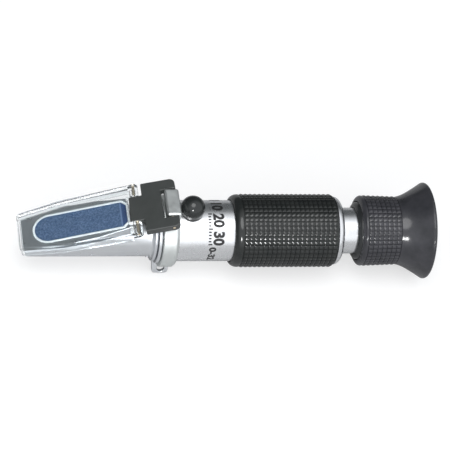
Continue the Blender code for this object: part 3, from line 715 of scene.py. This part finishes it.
def daylight_plate():
    """The clear plate: a lip round three sides, and two ears on the arm's pin."""
    lip_depth, top, lip_width = 2.3, 2.9, 0.9
    pivot = FACE.inverted() @ PLATE_PIVOT
    plate = soften(slab("daylight_cover", plate_plan(0, 0, pivot.x), -lip_depth, top, FACE), 0.2)
    hollow = slab("hollow", plate_plan(lip_width, lip_width, 40), -6, PLATE_UNDERSIDE, FACE)
    rear_gap = block("rear_gap", (PLATE_REAR, -EAR_INNER, -8), (40, EAR_INNER, 8), FACE)
    lip_end = block("lip_end", (PLATE_REAR + 1, -20, -8), (40, 20, pivot.z - EAR_RADIUS + 0.2), FACE)
    cut(plate, hollow, rear_gap, lip_end)
    half_ear = (PLATE_HALF_WIDTH - EAR_INNER) / 2
    for side in (-1, 1):
        boss = cross_bar("boss", EAR_RADIUS, half_ear, PLATE_PIVOT, side * (EAR_INNER + half_ear))
        join(plate, soften(boss, 0.3))
    cut(plate, cross_bar("plate_pin_hole", 0.72, 20, PLATE_PIVOT))
    piece(plate, ACRYLIC, "daylight_plate", "clear_plastic", "daylight_plate", flats=True)


def hinge_pins():
    """The pins of the two hinges."""
    for name, place, half_length, body, node in (
            ("arm_pin_turned", ARM_PIVOT, ARM_HALF_WIDTH - 0.05, "main_body", "arm_pivot_pin"),
            ("plate_pin_turned", PLATE_PIVOT, PLATE_HALF_WIDTH - 0.05, "cover_arm", "plate_pivot_pin")):
        pin = soften(cross_bar(name, 0.62, half_length, place), 0.15)
        piece(pin, PIN_BRASS, body, "brass", node, flats=True)


# ---- calibration cap -----------------------------------------------------------------------------------
def calibration_cap():
    """A rubber ball with a short neck, hollow below."""
    radius, base = 5.0, 10.5
    profile = arc(CAP_TOP - radius, 0, radius, 0, 108, 27)
    profile += [(12.6, 4.62), (11.8, 4.7), (base, 4.6)]
    profile += [(base, 3.8), (14, 3.8), (14, 3), (16.4, 3), (16.4, 0)]
    place = Matrix.Translation((CAP_X, 0, 0))
    cap = turned("rubber_ball", profile, place=place, steps=96, upright=True)
    cut(cap, bar("saddle", BARREL_RADIUS + 0.05, (CAP_X - 20, 0, 0), (CAP_X + 20, 0, 0), FINE_STEPS))
    piece(cap, BALL_RUBBER, "calibration_cap", "black_rubber", "calibration_cap")


# ---- eyepiece ------------------------------------------------------------------------------------------
SLEEVE_RADIUS = 14.6          # over the studs
NECK, NECK_RADIUS = 72.3, 14.1           # where the sleeve ends and the flare starts


def focus_shell():
    """The inner sleeve with its glossy rounded front ring."""
    front, rear, ring_radius = reach("focus_shell")
    nose, ring_rear, radius, bore = 2.3, 56.5, 11.8, 9.8
    lead = [(front + nose * (1 - math.cos(a)), ring_radius - nose * (1 - math.sin(a)))
            for a in (math.radians(9 * i) for i in range(11))]
    profile = [(front, bore), *lead, (ring_rear, ring_radius), (ring_rear, radius)]
    profile += [(rear, radius), (rear, bore)]
    piece(turned("focus_ring", profile), GLOSS_PLASTIC, "eyepiece", "gloss_black_plastic", "focus_shell")


def eyecup():
    """The studded rubber sleeve and its flared eye guard."""
    rim, rim_radius = reach("eyecup")[1:]
    sleeve_front, bore, seat, rim_round = 55.7, 12.3, 72.3, 1.0
    stud_front, stud_rear, columns = 57.9, 71.9, 7

    def base_at(x):
        share = (x - stud_front) / (NECK - stud_front)
        return SLEEVE_RADIUS + 0.1 - STUD_HEIGHT + (NECK_RADIUS - SLEEVE_RADIUS) * share

    shoulder = [(sleeve_front + 1.7 * (1 - math.cos(a)), bore + (SLEEVE_RADIUS - bore - 0.05) * math.sin(a))
                for a in (math.radians(9 * i) for i in range(11))]
    flare = flowing([(NECK, NECK_RADIUS - 0.12), (NECK + 2.2, NECK_RADIUS + 0.5),
                     (NECK + 4.5, NECK_RADIUS + 1.5), (NECK + 8.0, NECK_RADIUS + 3.5),
                     (rim - rim_round - 0.4, rim_radius - 0.12)])
    edge = arc(rim - rim_round, rim_radius - rim_round, rim_round, 110, -60, 14)
    inside = flowing([(rim - 3.0, 16.9), (NECK + 6.0, 14.6), (NECK + 3.4, 12.0),
                      (seat + 1.6, 9.0), (seat, 8.6)])
    profile = shoulder + [(stud_front - 0.25, SLEEVE_RADIUS - 0.1), (stud_front, base_at(stud_front))]
    profile += [(stud_rear, base_at(stud_rear)), (stud_rear + 0.15, NECK_RADIUS - 0.2)]
    profile += flare + edge + inside + [(seat, 8.6), (seat, bore)]
    cup = studded("eyecup_rubber", profile, stud_front, stud_rear, columns, base_at)
    piece(cup, CUP_RUBBER_PAINTED_REFLECTION, "eyepiece", "black_rubber", "eyecup", smooth=False)


# ---- printed scale on the barrel -----------------------------------------------------------------------
INK_HEIGHT = 0.02             # of the print above the barrel
INK_DEPTH = 0.06              # its whole thickness


def wrap(obj, front, start, width=None, height=None):
    """Lays a drawing on the barrel: its X runs round from start, in degrees, and its Y along the axis."""
    points = [v.co.copy() for v in obj.data.vertices]
    low_x, high_x = min(p.x for p in points), max(p.x for p in points)
    low_y, high_y = min(p.y for p in points), max(p.y for p in points)
    scale_x = width / (high_x - low_x) if width else 1
    scale_y = height / (high_y - low_y) if height else 1
    radius = BARREL_RADIUS + INK_HEIGHT
    for vert, p in zip(obj.data.vertices, points):
        turn = math.radians(start) + (p.x - low_x) * scale_x / BARREL_RADIUS
        r = radius if p.z > 0 else radius - INK_DEPTH
        vert.co = (front + (p.y - low_y) * scale_y, -r * math.sin(turn), r * math.cos(turn))
    piece(obj, INK, "main_body", "black_plastic")


def lettering(name, text, front, start, width, height):
    """Bold figures that run round the barrel, drawn large and scaled to the width and height."""
    curve = bpy.data.curves.new(name + "_curve", "FONT")
    curve.body = text
    curve.size = 10
    curve.offset = 0.45
    curve.extrude = 0.3               # its upright edges, 0.6 long, are not divided below
    sketch = link(name + "_sketch", curve)
    graph = bpy.context.evaluated_depsgraph_get()
    mesh = bpy.data.meshes.new_from_object(sketch.evaluated_get(graph))
    bpy.data.objects.remove(sketch, do_unlink=True)
    shape = bmesh.new()
    shape.from_mesh(mesh)
    long_edges = [edge for edge in shape.edges if edge.calc_length() > 0.8]
    bmesh.ops.subdivide_edges(shape, edges=long_edges, cuts=3)
    bmesh.ops.triangulate(shape, faces=shape.faces)
    wrap(new_object(name, shape), front, start, width, height)


def tick_marks(count, pitch, front, start):
    """A plain scale beside the figures, with every fifth tick longer."""
    shape = bmesh.new()
    for i in range(count):
        length = 1.6 if i % 5 == 0 else 1.1
        place = Matrix.Translation((i * pitch, length / 2, 0)) @ Matrix.Diagonal((0.6, length, 1, 1))
        bmesh.ops.create_cube(shape, size=1, matrix=place)
    wrap(new_object("scale_ticks", shape), front, start)


# ---- carried-over CAD nodes ----------------------------------------------------------------------------
KEPT = {
    BLACK_METAL: ("light_baffle", "reticle_cell", "reticle_retainer", "lens_carriage", "objective_retainer",
                  "ocular_cell", "lens_spacer", "eye_lens_retainer", "cell_retainer"),
    GLASS: ("reticle", "objective_lens", "field_lens", "eye_lens"),
    BRASS: ("adjuster_bushing", "calibration_screw"),
    STEEL: ("preload_spring", "guide_pin"),
}


def keep_nodes():
    """Gives each inner piece that is shown as its CAD node its material."""
    for material, names in KEPT.items():
        for name in names:
            mesh = frame["nodes"][name].data
            mesh.materials.clear()
            mesh.materials.append(material)


# ---- stage: floor, light and camera --------------------------------------------------------------------
CAMERA_TURN = math.radians(12)        # of the object about the vertical of the picture
CAMERA_RISE = math.radians(52)        # of the camera about the object's length
CAMERA_DISTANCE = 1.035
CAMERA_AIM = Vector((-0.0004, 0, AXIS_HEIGHT + 0.0037))
CAMERA_LENS = 202.4

TENT_MIDDLE = (0.3, -0.74, 0.67)     # the direction of the brightest part of the sky
TENT_EDGE = (0.08, 0.6)              # cosines to that direction where it turns dark, and fully bright
TENT_DARK = (0.105, 0.112, 0.115)
TENT_BRIGHT = (1.06, 1.08, 1.11)
FLOOR_GLOW = 0.58


def add_camera():
    """A long lens that looks down on the side of the object, its near end turned a little."""
    ct, st = math.cos(CAMERA_TURN), math.sin(CAMERA_TURN)
    cr, sr = math.cos(CAMERA_RISE), math.sin(CAMERA_RISE)
    right, up, back = (ct, -st * cr, st * sr), (0, sr, cr), Vector((-st, -cr * ct, sr * ct))
    data = bpy.data.cameras.new("camera")
    data.lens = CAMERA_LENS
    data.sensor_width = 36
    data.clip_start, data.clip_end = 0.05, 50
    camera = link("camera", data)
    turn = Matrix((right, up, back)).transposed().to_4x4()
    camera.matrix_world = Matrix.Translation(CAMERA_AIM + back * CAMERA_DISTANCE) @ turn
    bpy.context.scene.camera = camera


def seen(tree):
    """1 where something is seen directly or through the clear parts, 0 where it lights or is mirrored."""
    path = add(tree, "LightPath")
    either = add(tree, "Math", operation="MAXIMUM")
    tree.links.new(path.outputs["Is Camera Ray"], either.inputs[0])
    tree.links.new(path.outputs["Is Transmission Ray"], either.inputs[1])
    return either.outputs[0]


def add_floor():
    """Pale paper. It glows only where it is seen, so the metal mirrors plain paper."""
    shape = bmesh.new()
    bmesh.ops.create_grid(shape, x_segments=8, y_segments=8, size=3)
    floor = new_object("floor", shape)
    made = new_material("floor_paper", (0.45, 0.45, 0.45), 0.9)
    tree = made.node_tree
    patches = ranged(tree, noise(tree, 8, 3), 0, 1)
    paint(made, blended(tree, patches, (0.44, 0.44, 0.44), (0.46, 0.46, 0.46)))
    shader = tree.nodes["Principled BSDF"]
    shader.inputs["Emission Color"].default_value = (1, 1, 1, 1)
    tree.links.new(ranged(tree, seen(tree), 0, FLOOR_GLOW, 0, 1), shader.inputs["Emission Strength"])
    floor.data.materials.append(made)


def add_lamp(name, direction, distance, size, power):
    """A round soft lamp that faces the middle of the object."""
    data = bpy.data.lights.new(name, "AREA")
    data.shape = "DISK"
    data.size = size
    data.energy = power
    lamp = link(name, data)
    direction = Vector(direction).normalized()
    lamp.location = Vector((0, 0, AXIS_HEIGHT)) + direction * distance
    lamp.rotation_mode = "QUATERNION"
    lamp.rotation_quaternion = direction.to_track_quat("Z", "Y")


def add_world():
    """A pale tent above and in front of the object, dark behind it, and all pale where seen directly."""
    world = bpy.data.worlds.new("studio")
    bpy.context.scene.world = world
    world.use_nodes = True
    tree = world.node_tree
    facing = add(tree, "VectorMath", operation="DOT_PRODUCT")
    tree.links.new(add(tree, "TexCoord").outputs["Generated"], facing.inputs[0])
    facing.inputs[1].default_value = Vector(TENT_MIDDLE).normalized()
    level = ranged(tree, facing.outputs["Value"], 0.0, 1.0, *TENT_EDGE)
    lit = blended(tree, level, TENT_DARK, TENT_BRIGHT)
    direct = add(tree, "LightPath").outputs["Is Camera Ray"]
    tree.links.new(blended(tree, direct, lit, (0.9, 0.9, 0.9)), tree.nodes["Background"].inputs["Color"])


# ---- build ---------------------------------------------------------------------------------------------
add_camera()
prism_housing()
prism_and_frame()
lock_screw()
barrel()
hinge_collar()
strap_ring()
grip()
end_ring()
guide_tube()
cover_arm()
daylight_plate()
hinge_pins()
calibration_cap()
focus_shell()
eyecup()
lettering("range_figures", "0 10 20 30", front=-7.1, start=-52, width=26.0, height=4.7)
lettering("step_figures", "0-32", front=-8.5, start=71, width=8.2, height=3.0)
tick_marks(11, 1.3, -9.0, 4)
keep_nodes()

add_floor()
add_world()
add_lamp("overhead_lamp", (-0.1, -0.26, 0.97), distance=0.9, size=0.6, power=2.8)
add_lamp("front_lamp", (-0.185, -0.894, 0.407), distance=0.9, size=0.12, power=2.4)
bpy.context.scene.view_settings.view_transform = "Standard"
